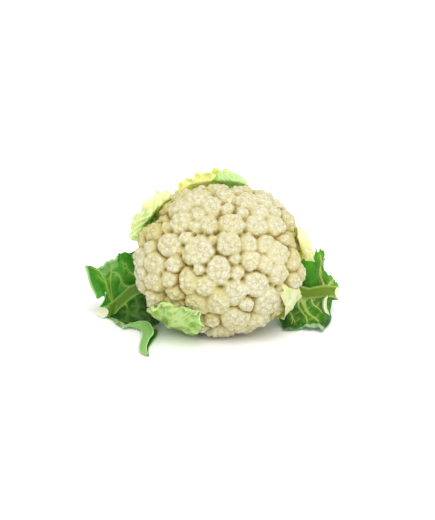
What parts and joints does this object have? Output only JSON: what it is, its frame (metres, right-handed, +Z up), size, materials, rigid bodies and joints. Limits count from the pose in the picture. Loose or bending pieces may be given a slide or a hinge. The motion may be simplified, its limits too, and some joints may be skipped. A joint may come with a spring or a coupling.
{
  "type": "cauliflower",
  "caption": "Whole cauliflower head lying on its side, curd to the front, with a cut stem, pale leaves that hug the curd and trimmed green outer leaves spread on the surface.",
  "frame": {"origin": "middle of the flat spot under the curd, on the surface that the head lies on", "axes": "+Z up from the surface, +X across the leaves' spread to the right of the curd's face, -Y the way that the curd faces"},
  "size_m": [0.2438, 0.1544, 0.147],
  "materials": {
    "curd_cream": "creamy white, fine-grained and matte, golden in the crevices",
    "stem_green": "pale green, slightly waxy stalk with a moist cut",
    "pale_leaf": "thin pale yellow-green leaf, translucent and crinkled",
    "green_leaf": "deep green leaf with pale veins and a waxy sheen"
  },
  "bodies": {
    "root": {"curd": "curd_cream", "stem": "stem_green", "inner_leaf_upper_left": "pale_leaf", "inner_leaf_top": "pale_leaf", "inner_leaf_top_right": "pale_leaf", "inner_leaf_right": "pale_leaf", "inner_leaf_lower_right": "pale_leaf", "inner_leaf_lower_left": "pale_leaf", "outer_leaf_left": "green_leaf", "outer_leaf_right": "green_leaf", "leaf_base_lower_left": "stem_green", "leaf_base_lower_right": "stem_green", "leaf_base_upper_left": "stem_green", "leaf_base_upper_right": "stem_green"}
  },
  "joints": []
}
